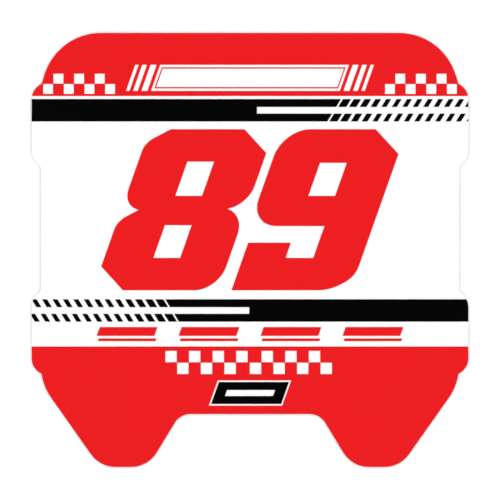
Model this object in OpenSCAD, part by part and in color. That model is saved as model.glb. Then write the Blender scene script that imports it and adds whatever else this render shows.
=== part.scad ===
// Racing number board: one flat plastic sheet with cut vinyl in red and black on its face.
// It lies on its back. X runs to the right, Y up the print and Z out of the printed face.
// The origin is on the back face, in the middle of the board's width and height.

/* [Board] */
// Width across the board's two sides
board_w = 250; // [240:0.5:260]
// Height from the feet to the top edge
board_h = 248.5; // [242.5:0.5:257.5]
// Thickness of the plastic sheet
board_t = 3; // [2:0.5:4]

/* [Top] */
// How far the top edge's corner points stand in from the sides
top_in = 14.65; // [11:0.05:18]
// Radius of the two top corners
top_r = 34; // [25:0.5:37.5]
// How far the necks, between the top and the sides, stand in
neck_in = 5.7; // [4.5:0.05:7]
// Radius in the bottom of each neck
neck_r = 1.5; // [1:0.25:1.75]
// Height of each neck beyond the side's corner point
neck_rise = 3.15; // [2.5:0.05:4]

/* [Sides] */
// Distance from the top edge down to the sides' upper corner points
side_drop = 32.25; // [30:0.25:35]
// Height of the sides between their corner points
side_h = 159.75; // [155:0.25:163]
// Radius of the sides' corners
side_r = 10.25; // [8:0.25:11]
// Height of the recess in each side, at its mouth
recess_h = 81.15; // [60:0.05:90]
// Depth of each recess
recess_d = 5.4; // [4:0.05:6.5]
// Radius in the two inner corners of each recess
recess_r = 1.75; // [1:0.25:3]

/* [Feet] */
// How far the corner points under the sides stand in
hip_in = 6.95; // [6:0.05:9]
// Height of the necks above those corner points
hip_drop = 7.8; // [7:0.05:10]
// Radius where the sides turn in to the feet
hip_r = 31; // [22.5:0.5:33]
// Width of each foot between its corner points
foot_w = 27.7; // [24:0.05:31]
// Radius of the feet's corners
foot_r = 17.45; // [12.5:0.05:19]
// Width of the notch between the feet, at its top
notch_w = 79.6; // [70:0.05:90]
// Height of the notch
notch_h = 30.3; // [25:0.1:36]
// How far each side of the notch runs out towards the foot
notch_splay = 18.4; // [12.5:0.05:22.5]
// Radius of the notch's two corners
notch_r = 10.45; // [6:0.05:13]

/* [Vinyl] */
// Thickness of the vinyl, with its clear laminate
film_t = 0.5; // [0.2:0.1:0.8]
// Bare rim between the vinyl and the board's edge
film_rim = 0.2; // [0.2:0.1:2]
// Height of the red field across the top
top_field_h = 36.2; // [33:0.05:36.5]
// Height of the red field across the feet
foot_field_h = 69.05; // [60:0.05:70]
// White gap between the top field and the upper band
field_gap = 1.8; // [1:0.05:3]
// Height of the white strip between the lower band and the foot field
strip_h = 14.25; // [12:0.05:17]

/* [Bands] */
// Height of each black band
band_h = 12.75; // [10:0.05:14]
// Height of the white slot along a band
slot_h = 3.85; // [2.5:0.05:5]
// Where the slot starts, from the board's middle
slot_x = 3.95; // [0:0.05:15]
// Where the solid part of a band ends, from the board's middle
solid_x = 52; // [45:0.5:65]
// How far the lower band is set over to the right
band_shift = 3.55; // [0:0.05:6]
// Lean of the slashes from upright
slash_lean = 31.5; // [20:0.5:40]
// Pitch of the slashes
slash_pitch = 5.96; // [5.5:0.01:7]
// Gap between the solid part of a band and its first slash
slash_gap = 1.1; // [0.75:0.05:1.5]
// Width of the first and widest slash
slash_first = 4.7; // [3.5:0.05:5]
// How much narrower each slash is than the one before
slash_step = 0.45; // [0.25:0.05:0.6]
// Width of the narrowest slashes
slash_w = 2.85; // [2:0.05:3.25]

/* [Numerals] */
// White left above the numerals
digit_over = 4.5; // [2:0.05:10]
// White left under the numerals
digit_under = 5.2; // [2:0.05:10]
// Height at which the numerals are drawn. They are then stretched to fill the white field.
digit_h = 92; // [80:0.05:105]
// Width of the eight, measured level
eight_w = 71.5; // [65:0.05:73]
// Width of the nine, measured level
nine_w = 70.85; // [65:0.05:73]
// Gap between the numerals
digit_gap = 4.9; // [3:0.05:7]
// Lean of the numerals from upright
digit_lean = 19.45; // [14:0.05:24]
// Width of the windows in the numerals
window_w = 15.3; // [12:0.05:20]
// Height of the bars along the top and the bottom
bar_h = 18.45; // [15:0.05:20]
// Height of the bar across the middle
waist_h = 16.7; // [14:0.05:19]
// Height of the middle bar's centre line
waist_y = 45.55; // [43:0.05:48]
// Length of the eight's cut corners along its top and bottom
cut_w = 17.2; // [14:0.05:19]
// Height of the eight's cut corners
cut_h = 13.6; // [11:0.05:16]
// Radius of the numerals' wide round corners, before they lean
bowl_r = 15.5; // [12:0.25:17]
// Radius of the eight's smaller round corners, before they lean
crown_r = 13.5; // [9:0.25:14]
// Height of the right pinch, where the eight's two bowls run together
pinch_y = 46.85; // [45.5:0.05:48]
// How much lower the left pinch is
pinch_drop = 0.9; // [0:0.05:1.5]
// How far the two bowls lap there
pinch_lap = 0.7; // [0.3:0.05:3]
// Radius of the eight's upper bowl at the pinch on the left
pinch_r = 12.25; // [6:0.25:14]
// Length that the eight's two left shoulders take along its top and its pinch
shoulder_w = 12; // [8:0.25:15]
// Height of those shoulders
shoulder_h = 7.75; // [4:0.25:10]
// Radius where a shoulder turns into the side
shoulder_r = 9; // [4:0.25:10]
// Length of the nine's cut corner along its top
nine_cut_w = 18; // [14:0.05:20]
// Height of the nine's cut corner
nine_cut_h = 14.1; // [11:0.05:17]
// Height of the bar along the nine's top
nine_bar_h = 19.15; // [15:0.05:21]
// How much lower the nine's bowl reaches than the eight's middle bar
bowl_drop = 0.5; // [0:0.05:2]
// Length that the nine's heel, at its lower right, takes along the foot
heel_w = 11.9; // [8:0.05:15]
// Height of the heel
heel_h = 7.6; // [5:0.05:11]
// Radius where the foot turns into the heel
heel_foot_r = 22; // [14:0.5:26]
// Radius where the heel turns into the side
heel_side_r = 11; // [7:0.25:14]
// Height of the nine's tail
tail_h = 27.15; // [23:0.05:29]
// How far the nine's tail stands in from its bowl
tail_in = 2.85; // [0:0.05:5]
// How far the nine's tail stops short of its window's edge
tail_short = 0.5; // [0:0.05:2]

/* [Checks] */
// Columns in one run of checks
check_n = 7; // [5:1:9]
// Side of a check at the top
top_check = 5.9; // [5:0.05:6.25]
// How far the top checks stand in from the board's sides
top_check_in = 6.65; // [6.5:0.05:12]
// Red left under the top checks
top_check_up = 1.05; // [0.75:0.05:2.5]
// Side of a check at the foot
foot_check = 6.75; // [5:0.05:7]
// Red left above the foot checks
foot_check_drop = 2.35; // [1.5:0.05:4]
// Gap between the two runs of foot checks
foot_check_gap = 1; // [0.5:0.05:3]
// How far the foot checks are set over to the left
foot_check_shift = 0.75; // [0:0.05:3]
// Vinyl left between two checks that meet at their corners
check_web = 0.2; // [0.1:0.1:0.4]

/* [Panels] */
// Lean of the blank panels from upright
panel_lean = 19.5; // [10:0.5:25]
// Width of the blank name panel, measured level
name_w = 108; // [90:0.5:115]
// Height of the name panel
name_h = 15; // [12:0.25:16]
// Distance from the top edge down to the middle of the name panel
name_drop = 25.85; // [24:0.05:26.5]
// Bars at each end of the name panel
name_bars = 3; // [2:1:3]
// Width of the first bar there
name_bar_w = 3.5; // [2.5:0.25:4]
// How much narrower each of those bars is than the one before
name_bar_step = 0.75; // [0:0.25:1]
// Gap between those bars
name_bar_gap = 2; // [1.5:0.25:2.5]
// Distance from the name panel's edge in to its red keyline
key_in = 1.5; // [1:0.25:2.5]
// Width of the keyline
key_w = 0.7; // [0.4:0.05:1.25]
// Number of tabs along the white strip
tab_n = 4; // [3:1:4]
// Pitch of the tabs
tab_pitch = 46.85; // [42:0.05:55]
// Width of a tab
tab_w = 33; // [25:0.5:38]
// Height of a tab's upper bar
tab_h = 5; // [4:0.25:5.5]
// Height of the thin bar under it
tab_line_h = 1.5; // [1:0.25:2]
// Gap between a tab's two bars
tab_gap = 1.5; // [1:0.25:2]
// Width of the badge under the foot checks
badge_w = 40; // [30:0.5:47.5]
// Height of the badge
badge_h = 12.5; // [9:0.25:14]
// How far the badge sits above the middle of the red between the foot checks and the notch
badge_rise = 0.75; // [0:0.05:3]
// White border round the badge
badge_rim = 1; // [0.5:0.25:1.5]
// Height of the white bar in the badge
badge_bar_h = 3.5; // [2:0.25:4.5]

/* [Hidden] */
$fn = 120;
RED = [0.93, 0.13, 0.14];
BLACK = [0.05, 0.05, 0.05];
WHITE = [0.96, 0.96, 0.96];

// Levels up the board, from its middle
top_y = board_h / 2;
foot_y = -board_h / 2;
side_top_y = top_y - side_drop;
side_foot_y = side_top_y - side_h;
recess_y = (side_top_y + side_foot_y) / 2;
hip_y = side_foot_y - neck_rise - hip_drop;
top_field_y = top_y - top_field_h;
upper_band_y = top_field_y - field_gap;
foot_field_y = foot_y + foot_field_h;
lower_band_y = foot_field_y + strip_h + band_h;
digit_y = lower_band_y + digit_under;
digit_top_y = upper_band_y - band_h - digit_over;
check_foot_y = foot_field_y - foot_check_drop - 2 * foot_check;
badge_y = (check_foot_y + foot_y + notch_h) / 2 + badge_rise;

// Most of an edge that the fillets at its two ends may take
edge_share = 0.98;
// Shortest length that a fillet is reckoned to take of an edge
least_reach = 0.01;
// How far a corner's slice reaches past its circle, so that it cuts it clean
slice_reach = 1.4;
// Steps in a numeral's round corner
lean_steps = 12;

// A shape is a closed list of corners [x, y, r], listed counter-clockwise. An r of 0 is sharp.
half_w = board_w / 2;
right_side = [
    [notch_w / 2, foot_y + notch_h, notch_r],
    [notch_w / 2 + notch_splay, foot_y, foot_r],
    [notch_w / 2 + notch_splay + foot_w, foot_y, foot_r],
    [half_w - hip_in, hip_y, hip_r],
    [half_w - neck_in, side_foot_y - neck_rise, neck_r],
    [half_w, side_foot_y, side_r],
    [half_w, recess_y - recess_h / 2, side_r],
    [half_w - recess_d, recess_y - recess_h / 2 + recess_d, recess_r],
    [half_w - recess_d, recess_y + recess_h / 2 - recess_d, recess_r],
    [half_w, recess_y + recess_h / 2, side_r],
    [half_w, side_top_y, side_r],
    [half_w - neck_in, side_top_y + neck_rise, neck_r],
    [half_w - top_in, top_y, top_r]
];
left_side = [for (i = [len(right_side) - 1 : -1 : 0])
    [-right_side[i][0], right_side[i][1], right_side[i][2]]];
outline = concat(right_side, left_side);

function corner(c, i) = c[(i + len(c)) % len(c)];
function point(c, i) = [corner(c, i)[0], corner(c, i)[1]];
function edge(c, i) = point(c, i + 1) - point(c, i);
function unit(v) = v / norm(v);
function left_of(v) = [-v[1], v[0]];
function snap(v) = [for (x = v) round(x * 1000) / 1000];

// Turn at a corner: above 0 where the shape is convex, below 0 where it is hollow
function turn(c, i) = atan2(cross(edge(c, i - 1), edge(c, i)), edge(c, i - 1) * edge(c, i));
// Length of edge that a corner's fillet asks for, and the share of it that its edges allow
function wanted(c, i) = corner(c, i)[2] * tan(abs(turn(c, i)) / 2);
function room(c, i) = edge_share * norm(edge(c, i)) / max(wanted(c, i) + wanted(c, i + 1), least_reach);
function allowed(c, i) = min(1, room(c, i - 1), room(c, i));
function radius(c, i, inset = 0) = snap([corner(c, i)[2] * allowed(c, i) - sign(turn(c, i)) * inset])[0];
// Where the fillet starts and ends, on the shape drawn inside this one by inset
function fillet_end(c, i, side, along, inset) =
    snap(point(c, i) + side * wanted(c, i) * allowed(c, i) * along + inset * left_of(along));
function fillet_ends(c, i, inset) = [
    fillet_end(c, i, -1, unit(edge(c, i - 1)), inset),
    fillet_end(c, i, 1, unit(edge(c, i)), inset)
];
// Centre of the circle of radius r through the fillet's two ends
function centre(c, i, ends, r) = (ends[0] + ends[1]) / 2 + sign(turn(c, i))
    * left_of(unit(ends[1] - ends[0])) * sqrt(r * r - pow(norm(ends[1] - ends[0]) / 2, 2));

// The slice of a corner's circle between the fillet's two ends
module slice(c, i, inset) {
    r = radius(c, i, inset);
    ends = fillet_ends(c, i, inset);
    mid = centre(c, i, ends, r);
    intersection() {
        translate(snap(mid)) translate(mid - snap(mid)) circle(r);
        polygon([mid, ends[0], mid + slice_reach * (ends[0] - mid),
            mid + slice_reach * (ends[1] - mid), ends[1]]);
    }
}

// The shape with its corners rounded, drawn inside its own outline by inset
module rounded(c, inset = 0) {
    all = [0 : len(c) - 1];
    difference() {
        union() {
            polygon([for (i = all) each fillet_ends(c, i, inset)]);
            for (i = all) if (turn(c, i) > 0) slice(c, i, inset);
        }
        for (i = all) if (turn(c, i) < 0) slice(c, i, inset);
    }
}

// A parallelogram that leans to the right, with its lower left corner at the origin
module leaning_bar(w, h, lean) {
    polygon([[0, 0], [w, 0], [w + h * tan(lean), h], [h * tan(lean), h]]);
}

// The same, centred on the origin
module centred_bar(w, h, lean) {
    translate([-(w + h * tan(lean)) / 2, -h / 2]) leaning_bar(w, h, lean);
}

module film(shade) {
    color(shade) translate([0, 0, board_t]) linear_extrude(film_t) children();
}

// The board's face that vinyl may cover, between two levels
module face_between(low, high) {
    intersection() {
        rounded(outline, film_rim);
        translate([-half_w, low]) square([board_w, high - low]);
    }
}

// One run of checks, two rows high, from its lower left corner
module checks(side, high_first) {
    for (i = [0 : check_n - 1]) {
        row = (i + (high_first ? 1 : 0)) % 2;
        translate([i * side + check_web / 2, row * side + check_web / 2]) square(side - check_web);
    }
}

module board() {
    color(WHITE) linear_extrude(board_t) rounded(outline);
}

// Slashes along a band, from the band's lower edge, with the solid part on their left
function slash_width(i) = max(slash_w, slash_first - i * slash_step);
slash_rise = band_h * tan(slash_lean);
slash_n = ceil((half_w - solid_x + slash_rise) / slash_pitch);

module band_slashes() {
    first_x = solid_x + slash_gap + slash_first / 2 - slash_rise;
    for (i = [0 : slash_n - 1]) translate([first_x + i * slash_pitch - slash_width(i) / 2, 0])
        leaning_bar(slash_width(i), band_h, slash_lean);
}

module band_solid() {
    polygon([[-board_w, 0], [solid_x - slash_rise, 0], [solid_x, band_h], [-board_w, band_h]]);
}

module band_slot() {
    translate([slot_x, (band_h - slot_h) / 2]) square([board_w, slot_h]);
}

module upper_band_place() {
    translate([0, upper_band_y - band_h]) children();
}

module lower_band_place() {
    translate([band_shift, lower_band_y - band_h]) mirror([1, 0]) children();
}

module upper_band() {
    film(BLACK) intersection() {
        face_between(upper_band_y - band_h, upper_band_y);
        upper_band_place() difference() { band_solid(); band_slot(); }
    }
}

module upper_slashes() {
    film(BLACK) intersection() {
        face_between(upper_band_y - band_h, upper_band_y);
        upper_band_place() difference() { band_slashes(); band_slot(); }
    }
}

module lower_band() {
    film(BLACK) intersection() {
        face_between(lower_band_y - band_h, lower_band_y);
        lower_band_place() difference() { band_solid(); band_slot(); }
    }
}

module lower_slashes() {
    film(BLACK) intersection() {
        face_between(lower_band_y - band_h, lower_band_y);
        lower_band_place() difference() { band_slashes(); band_slot(); }
    }
}

// The blank name panel and the bars at its ends
function name_bar_width(i) = name_bar_w - i * name_bar_step;
function name_bar_x(i) = i < 0 ? name_w / 2 : name_bar_x(i - 1) + name_bar_gap
    + (i > 0 ? name_bar_width(i - 1) : 0);

module name_panel() {
    centred_bar(name_w, name_h, panel_lean);
    for (i = [0 : name_bars - 1], side = [-1, 1])
        translate([side * (name_bar_x(i) + name_bar_width(i) / 2), 0])
            centred_bar(name_bar_width(i), name_h, panel_lean);
}

module top_field() {
    film(RED) difference() {
        face_between(top_field_y, top_y);
        for (side = [0, 1]) mirror([side, 0])
            translate([top_check_in - half_w, top_field_y + top_check_up]) checks(top_check, false);
        translate([0, top_y - name_drop]) name_panel();
    }
}

module name_keyline() {
    film(RED) translate([0, top_y - name_drop]) difference() {
        centred_bar(name_w - 2 * key_in, name_h - 2 * key_in, panel_lean);
        centred_bar(name_w - 2 * (key_in + key_w), name_h - 2 * (key_in + key_w), panel_lean);
    }
}

module foot_field() {
    run_w = check_n * foot_check;
    film(RED) difference() {
        face_between(foot_y, foot_field_y);
        translate([-foot_check_shift, check_foot_y]) {
            translate([-run_w - foot_check_gap / 2, 0]) checks(foot_check, true);
            translate([foot_check_gap / 2, 0]) checks(foot_check, false);
        }
        translate([0, badge_y])
            centred_bar(badge_w + 2 * badge_rim, badge_h + 2 * badge_rim, panel_lean);
    }
}

module badge() {
    film(BLACK) translate([0, badge_y]) difference() {
        centred_bar(badge_w, badge_h, panel_lean);
        centred_bar(badge_w - badge_h, badge_bar_h, panel_lean);
    }
}

module strip_tabs() {
    tab_all_h = tab_h + tab_gap + tab_line_h;
    film(RED) for (i = [0 : tab_n - 1])
        translate([(i - (tab_n - 1) / 2) * tab_pitch, foot_field_y + strip_h / 2 - tab_all_h / 2]) {
            translate([0, tab_line_h + tab_gap + tab_h / 2]) centred_bar(tab_w, tab_h, panel_lean);
            translate([0, tab_line_h / 2]) centred_bar(tab_w, tab_line_h, panel_lean);
        }
}

// A numeral is drawn upright, with its corners rounded. Its points are then stretched in height
// to fill the white field, and lean to the right.
digit_stretch = (digit_top_y - digit_y) / digit_h;
function round_corner(c, i) =
    let (r = corner(c, i)[2] * allowed(c, i), run = wanted(c, i) * allowed(c, i),
        start = point(c, i) - run * unit(edge(c, i - 1)),
        mid = start + sign(turn(c, i)) * r * left_of(unit(edge(c, i - 1))))
    r == 0 ? [point(c, i)] : [for (step = [0 : lean_steps]) let (a = turn(c, i) * step / lean_steps)
        mid + [[cos(a), -sin(a)], [sin(a), cos(a)]] * (start - mid)];
function leaned(points) = [for (p = points) let (y = p[1] * digit_stretch) [p[0] + y * tan(digit_lean), y]];

module leaning(c) {
    polygon(leaned([for (i = [0 : len(c) - 1]) each round_corner(c, i)]));
}

function stem(w) = (w - window_w) / 2;

module window(w, low, high) {
    leaning([[stem(w), low, 0], [stem(w) + window_w, low, 0],
        [stem(w) + window_w, high, 0], [stem(w), high, 0]]);
}

// The numerals stand side by side, and at half their height the pair is centred on the board
module numeral_place(start_x) {
    pair_w = eight_w + digit_gap + nine_w;
    translate([start_x - pair_w / 2 - (digit_top_y - digit_y) / 2 * tan(digit_lean), digit_y]) children();
}

module numeral_8() {
    upper_foot = pinch_y - pinch_lap / 2;
    lower_top = pinch_y + pinch_lap / 2;
    film(RED) numeral_place(0) difference() {
        union() {
            leaning([[0, upper_foot - pinch_drop, pinch_r], [eight_w, upper_foot, crown_r],
                [eight_w, digit_h - cut_h, 0], [eight_w - cut_w, digit_h, 0],
                [shoulder_w, digit_h, 0], [0, digit_h - shoulder_h, shoulder_r]]);
            leaning([[cut_w, 0, 0], [eight_w, 0, crown_r], [eight_w, lower_top, bowl_r],
                [shoulder_w, lower_top, 0], [0, lower_top - shoulder_h, shoulder_r], [0, cut_h, 0]]);
        }
        window(eight_w, bar_h, waist_y - waist_h / 2);
        window(eight_w, waist_y + waist_h / 2, digit_h - bar_h);
    }
}

module numeral_9() {
    bowl_foot = waist_y - waist_h / 2 - bowl_drop;
    tail_end = stem(nine_w) - tail_short;
    stem_x = stem(nine_w) + window_w;
    film(RED) numeral_place(eight_w + digit_gap) difference() {
        leaning([[tail_in, 0, 0], [nine_w - heel_w, 0, heel_foot_r], [nine_w, heel_h, heel_side_r],
            [nine_w, digit_h - nine_cut_h, 0], [nine_w - nine_cut_w, digit_h, 0],
            [0, digit_h, bowl_r], [0, bowl_foot, bowl_r],
            [stem_x, bowl_foot, 0], [stem_x, bar_h, 0], [tail_end, bar_h, 0],
            [tail_end, tail_h, 0], [tail_in, tail_h, 0]]);
        window(nine_w, waist_y + waist_h / 2, digit_h - nine_bar_h);
    }
}

board();
top_field();
foot_field();
numeral_8();
numeral_9();
upper_band();
upper_slashes();
lower_band();
lower_slashes();
name_keyline();
strip_tabs();
badge();
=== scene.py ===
"""Looks of the racing number board: an eased plastic sheet under laminated cut vinyl, lit all round."""
import math

import bmesh
import bpy
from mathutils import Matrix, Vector


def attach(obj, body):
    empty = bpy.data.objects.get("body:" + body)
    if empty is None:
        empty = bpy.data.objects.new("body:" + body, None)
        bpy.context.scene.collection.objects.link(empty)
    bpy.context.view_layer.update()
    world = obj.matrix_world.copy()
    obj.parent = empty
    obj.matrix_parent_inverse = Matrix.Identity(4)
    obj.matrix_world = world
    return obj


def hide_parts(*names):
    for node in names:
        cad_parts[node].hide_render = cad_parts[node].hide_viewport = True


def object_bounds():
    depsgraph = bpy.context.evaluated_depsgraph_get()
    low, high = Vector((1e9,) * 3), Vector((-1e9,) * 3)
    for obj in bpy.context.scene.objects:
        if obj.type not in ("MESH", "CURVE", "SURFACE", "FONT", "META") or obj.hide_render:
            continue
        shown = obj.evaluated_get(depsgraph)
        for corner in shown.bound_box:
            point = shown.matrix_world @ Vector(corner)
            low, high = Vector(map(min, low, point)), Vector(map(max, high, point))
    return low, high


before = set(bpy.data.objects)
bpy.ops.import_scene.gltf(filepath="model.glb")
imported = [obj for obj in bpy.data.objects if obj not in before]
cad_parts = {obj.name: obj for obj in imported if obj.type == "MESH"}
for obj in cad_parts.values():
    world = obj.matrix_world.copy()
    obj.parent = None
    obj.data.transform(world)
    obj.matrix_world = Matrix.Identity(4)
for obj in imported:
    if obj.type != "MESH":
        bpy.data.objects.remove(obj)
cad_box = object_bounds()

MM = 0.001

# Framing: the picture is this many pixels across, and the board spans it between these two columns
PICTURE_PX = 500
BOARD_LEFT_PX = 31.3
BOARD_RIGHT_PX = 468.7
LENS_MM = 200
SENSOR_MM = 36
FARTHEST_SEEN = 20

# How far the router's edge and the knife's edge are eased, and in how many steps
SHEET_EASE = 0.2 * MM
SHEET_EASE_STEPS = 3
FILM_EASE = 0.05 * MM
FILM_EASE_STEPS = 2

# Points closer than WELD become one, and so do faces with less than FLAT_TURN between them. An edge with
# more than SQUARE_TURN across it is eased. After that, one with more than CRISP_TURN stays crisp.
WELD = 0.001 * MM
FLAT_TURN = math.radians(0.5)
SQUARE_TURN = math.radians(60)
CRISP_TURN = math.radians(32)

# Grains to a metre in each surface, and how deep its relief is
SHEET_SKIN = 1400
SHEET_CLOUDS = 9
ROUTER_MARKS = 2600
SHEET_RELIEF = 0.02 * MM
ORANGE_PEEL = 420
FILM_CLOUDS = 14
PEEL_RELIEF = 0.012 * MM
FLOOR_MOTTLE = 3

# Router marks are drawn out upright by this stretch. The skin's relief is this share of theirs.
ROUTER_STRETCH = (1, 1, 0.03)
SKIN_SHARE = 0.35

# Colours, as linear light. A film's deeper shade lies in its clouds, and its cut shade on its edge.
SHEET_WHITE = (0.885, 0.885, 0.88)
# The sheet's cut edge is greyer than its face: partly its duller router-cut finish, partly painted shade
# that darkens the board's outline.
SHEET_CUT_GREY_AND_SHADE = (0.60, 0.60, 0.59)
VINYL_RED = (0.756, 0.0120, 0.0148)
VINYL_RED_DEEPER = (0.750, 0.0114, 0.0142)
VINYL_RED_CUT = (0.52, 0.008, 0.010)
VINYL_BLACK = (0.0012, 0.0012, 0.0014)
VINYL_BLACK_DEEPER = (0.0009, 0.0009, 0.0010)
VINYL_BLACK_CUT = (0.006, 0.006, 0.006)
FLOOR_WHITE = (0.95, 0.95, 0.95)
FLOOR_DIMMER = 0.985

RED_FILMS = ("top_field", "foot_field", "numeral_8", "numeral_9", "name_keyline", "strip_tabs")
BLACK_FILMS = ("upper_band", "upper_slashes", "lower_band", "lower_slashes", "badge")

# The floor, in metres
FLOOR_RADIUS = 1.3
FLOOR_SIDES = 96

# Softboxes: how far round from the foot of the print each one stands and how high, in degrees
SOFTBOX_AZIMUTHS = (45, 135, 225, 315)
SOFTBOX_ELEVATION = 62
SOFTBOX_DISTANCE = 2.4
SOFTBOX_SIZE = 1.25
SOFTBOX_WATTS = 19.4

# Each softbox is two lamps, the second this far behind the first. Gloss mirrors only the first, which has
# this share of the light, so that the print keeps its colour from every side.
LAMP_GAP = 0.02
MIRRORED_SHARE = 0.3

# How bright the room is at each height, from -1 straight down through 0 at the horizon to 1 straight up.
# Below the horizon it is as bright as the rim of the floor. The walls are dim, so the gloss doesn't pale.
ROOM = ((-0.04, 0.85), (0, 1.0), (0.038, 1.0), (0.05, 0.12), (0.5, 0.12), (0.85, 0.02))

# A Mix node's sockets for colours: the two that it takes, and the one that it gives
MIX_LOW = 6
MIX_HIGH = 7
MIX_RESULT = 2


class Value:
    """One output of a shader node. An expression on values adds the Math nodes that it stands for."""

    def __init__(self, finish, socket):
        self.finish = finish
        self.socket = socket

    def maths(self, operation, first, second):
        return self.finish.node("ShaderNodeMath", {"operation": operation}, {0: first, 1: second})

    def __add__(self, other):
        return self.maths("ADD", self, other)

    __radd__ = __add__

    def __sub__(self, other):
        return self.maths("SUBTRACT", self, other)

    def __rsub__(self, other):
        return self.maths("SUBTRACT", other, self)

    def __mul__(self, other):
        return self.maths("MULTIPLY", self, other)

    __rmul__ = __mul__

    def __abs__(self):
        return self.maths("ABSOLUTE", self, 0)


class Finish:
    """A node tree under construction, for a material or the room's light."""

    def __init__(self, tree):
        self.tree = tree
        tree.nodes.clear()

    def node(self, kind, settings=None, sockets=None, output=0):
        """Adds a node of any kind: its settings first, then what its sockets take. Gives one output."""
        made = self.tree.nodes.new(kind)
        for name, setting in (settings or {}).items():
            if name == "stops":
                set_stops(made.color_ramp, setting)
            else:
                setattr(made, name, setting)
        for name, taken in (sockets or {}).items():
            if isinstance(taken, Value):
                self.tree.links.new(taken.socket, made.inputs[name])
            else:
                made.inputs[name].default_value = taken
        return Value(self, made.outputs[output]) if made.outputs else None

    def place(self):
        """Where a point is on the board, in metres."""
        return self.node("ShaderNodeTexCoord", output="Object")

    def stretched(self, scale):
        """The same place with its X, Y and Z multiplied by scale."""
        return self.node("ShaderNodeVectorMath", {"operation": "MULTIPLY"}, {0: self.place(), 1: scale})

    def grain(self, where, per_metre, detail=2.0):
        """Soft noise about 0.5, with this many grains to a metre."""
        return self.node("ShaderNodeTexNoise", None,
                         {"Vector": where, "Scale": per_metre, "Detail": detail, "Roughness": 0.5})

    def blended(self, share, low, high):
        """A colour between two others, each a plain one or another node's."""
        low, high = (tone if isinstance(tone, Value) else (*tone, 1) for tone in (low, high))
        return self.node("ShaderNodeMix", {"data_type": "RGBA"},
                         {"Factor": share, MIX_LOW: low, MIX_HIGH: high}, output=MIX_RESULT)

    def raised(self, height, depth):
        """A normal that follows a height from 0 to 1, this deep in metres."""
        return self.node("ShaderNodeBump", None, {"Height": height, "Strength": 1.0, "Distance": depth})

    def wall(self):
        """1 on a wall that stands upright, 0 on the flat faces."""
        normal = self.node("ShaderNodeNewGeometry", output="True Normal")
        upward = self.node("ShaderNodeSeparateXYZ", None, {"Vector": normal}, output="Z")
        return 1 - abs(upward)

    def surface(self, sockets):
        shader = self.node("ShaderNodeBsdfPrincipled", None, sockets)
        self.node("ShaderNodeOutputMaterial", None, {"Surface": shader})


def set_stops(ramp, stops):
    while len(ramp.elements) > 1:
        ramp.elements.remove(ramp.elements[-1])
    ramp.elements[0].position, ramp.elements[0].color = stops[0]
    for position, colour in stops[1:]:
        ramp.elements.new(position).color = colour


def material(name):
    made = bpy.data.materials.new(name)
    made.use_nodes = True
    return made, Finish(made.node_tree)


def sheet_plastic():
    """White extruded sheet: a fine satin skin on its faces, and upright router marks along its cut edge."""
    made, finish = material("sheet_plastic")
    wall = finish.wall()
    skin = finish.grain(finish.place(), SHEET_SKIN)
    clouds = finish.grain(finish.place(), SHEET_CLOUDS)
    router_marks = finish.grain(finish.stretched(ROUTER_STRETCH), ROUTER_MARKS, detail=1.0)
    height = skin * (1 - wall) * SKIN_SHARE + router_marks * wall
    finish.surface({
        # Upright walls take the cut edge's grey: partly the router-cut finish, partly painted shade along
        # the board's outline.
        "Base Color": finish.blended(wall, SHEET_WHITE, SHEET_CUT_GREY_AND_SHADE),
        "Roughness": 0.34 + clouds * 0.08 + wall * 0.18,
        "Normal": finish.raised(height, SHEET_RELIEF),
        "IOR": 1.49,
    })
    return made


def laminated_vinyl(name, colour, deeper, cut):
    """Cast vinyl under a clear gloss laminate, with the faint orange peel of a film that was rolled on.

    Its knife-cut edge is duller and darker than its face.
    """
    made, finish = material(name)
    wall = finish.wall()
    peel = finish.grain(finish.place(), ORANGE_PEEL, detail=1.0)
    clouds = finish.grain(finish.place(), FILM_CLOUDS)
    face = finish.blended(clouds, colour, deeper)
    finish.surface({
        "Base Color": finish.blended(wall, face, cut),
        "Roughness": 0.08 + clouds * 0.04 + wall * 0.3,
        "Normal": finish.raised(peel, PEEL_RELIEF),
        "IOR": 1.46,
        "Specular IOR Level": 0.27,
        "Coat Weight": 0.3,
        "Coat Roughness": 0.08,
    })
    return made


def floor_paint():
    made, finish = material("floor_paint")
    mottle = finish.grain(finish.place(), FLOOR_MOTTLE)
    dimmer = tuple(FLOOR_DIMMER * part for part in FLOOR_WHITE)
    finish.surface({
        "Base Color": finish.blended(mottle, FLOOR_WHITE, dimmer),
        "Roughness": 0.9,
        "Specular IOR Level": 0.1,
    })
    return made


def put_in_scene(name, data):
    made = bpy.data.objects.new(name, data)
    bpy.context.scene.collection.objects.link(made)
    return made


def mesh_of(name, form):
    """Turns a form that is being shaped into a mesh."""
    mesh = bpy.data.meshes.new(name)
    form.to_mesh(mesh)
    form.free()
    return mesh


def eased_copy(node, name, ease, steps):
    """A copy of a CAD node with its square edges eased. It stands for the node."""
    form = bmesh.new()
    form.from_mesh(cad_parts[node].data)
    bmesh.ops.remove_doubles(form, verts=form.verts, dist=WELD)
    bmesh.ops.dissolve_limit(form, angle_limit=FLAT_TURN, verts=form.verts, edges=form.edges)
    square = [edge for edge in form.edges if edge.calc_face_angle(0) > SQUARE_TURN]
    bmesh.ops.bevel(form, geom=square, offset=ease, offset_type="OFFSET", segments=steps,
                    profile=0.5, affect="EDGES", clamp_overlap=True)
    mesh = mesh_of(name, form)
    mesh.shade_smooth()
    mesh.set_sharp_from_angle(angle=CRISP_TURN)
    piece = put_in_scene(name, mesh)
    level = piece.modifiers.new("level_faces", "WEIGHTED_NORMAL")
    level.keep_sharp = True
    level.weight = 100
    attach(piece, "root")
    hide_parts(node)
    return piece


def dress_board():
    piece = eased_copy("board", "eased_sheet", SHEET_EASE, SHEET_EASE_STEPS)
    piece.data.materials.append(sheet_plastic())


def dress_films(nodes, finish):
    for node in nodes:
        piece = eased_copy(node, node + "_film", FILM_EASE, FILM_EASE_STEPS)
        piece.data.materials.append(finish)


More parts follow.
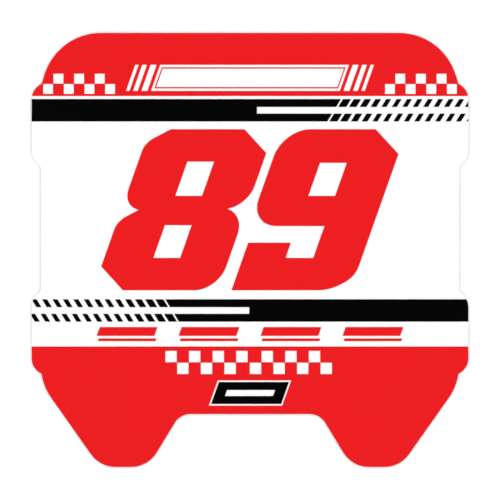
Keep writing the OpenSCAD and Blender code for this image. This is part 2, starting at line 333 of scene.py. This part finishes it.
def lay_floor():
    """A round pale floor. Under the horizon the room is as bright as its rim, so the rim barely shows."""
    form = bmesh.new()
    bmesh.ops.create_circle(form, cap_ends=True, segments=FLOOR_SIDES, radius=FLOOR_RADIUS)
    floor = put_in_scene("floor", mesh_of("floor", form))
    floor.data.materials.append(floor_paint())


def lamp(azimuth, distance, watts, mirrored):
    """A square soft lamp that faces the board, and that gloss either mirrors or doesn't."""
    light = bpy.data.lights.new("softbox", "AREA")
    light.shape = "SQUARE"
    light.size = SOFTBOX_SIZE
    light.energy = watts
    made = put_in_scene("softbox", light)
    turn = math.radians(azimuth)
    rise = math.radians(SOFTBOX_ELEVATION)
    level = math.cos(rise)
    direction = Vector((level * math.sin(turn), -level * math.cos(turn), math.sin(rise)))
    made.location = distance * direction
    made.rotation_euler = direction.to_track_quat("Z", "Y").to_euler()
    made.visible_glossy = mirrored


def softbox(azimuth):
    lamp(azimuth, SOFTBOX_DISTANCE, SOFTBOX_WATTS * MIRRORED_SHARE, True)
    lamp(azimuth, SOFTBOX_DISTANCE + LAMP_GAP, SOFTBOX_WATTS * (1 - MIRRORED_SHARE), False)


def ramp_place(height):
    """Where a height from -1 to 1 lies on a ramp from 0 to 1. It may be a number or a Value."""
    return height * 0.5 + 0.5


def light_room():
    """Four softboxes all round, and a dim room with a pale horizon, darkest straight above."""
    for azimuth in SOFTBOX_AZIMUTHS:
        softbox(azimuth)
    room = bpy.data.worlds.new("room")
    bpy.context.scene.world = room
    room.use_nodes = True
    light = Finish(room.node_tree)
    direction = light.node("ShaderNodeTexCoord", output="Generated")
    height = light.node("ShaderNodeSeparateXYZ", None, {"Vector": direction}, output="Z")
    stops = [(ramp_place(level), (tone, tone, tone, 1)) for level, tone in ROOM]
    shade = light.node("ShaderNodeValToRGB", {"stops": stops}, {"Fac": ramp_place(height)})
    glow = light.node("ShaderNodeBackground", None, {"Color": shade, "Strength": 1.0})
    light.node("ShaderNodeOutputWorld", None, {"Surface": glow})


def place_camera():
    """Straight above the board, so that it fills as much of the picture as in the photograph."""
    low, high = cad_box
    view_width = (high[0] - low[0]) * PICTURE_PX / (BOARD_RIGHT_PX - BOARD_LEFT_PX)
    camera = bpy.data.cameras.new("camera")
    camera.lens = LENS_MM
    camera.sensor_width = SENSOR_MM
    camera.clip_end = FARTHEST_SEEN
    lookout = put_in_scene("camera", camera)
    lookout.location = (0, 0, high[2] + view_width * LENS_MM / SENSOR_MM)
    bpy.context.scene.camera = lookout
    bpy.context.scene.view_settings.view_transform = "Standard"


place_camera()
light_room()
lay_floor()
dress_board()
red_vinyl = laminated_vinyl("red_vinyl", VINYL_RED, VINYL_RED_DEEPER, VINYL_RED_CUT)
dress_films(RED_FILMS, red_vinyl)
black_vinyl = laminated_vinyl("black_vinyl", VINYL_BLACK, VINYL_BLACK_DEEPER, VINYL_BLACK_CUT)
dress_films(BLACK_FILMS, black_vinyl)
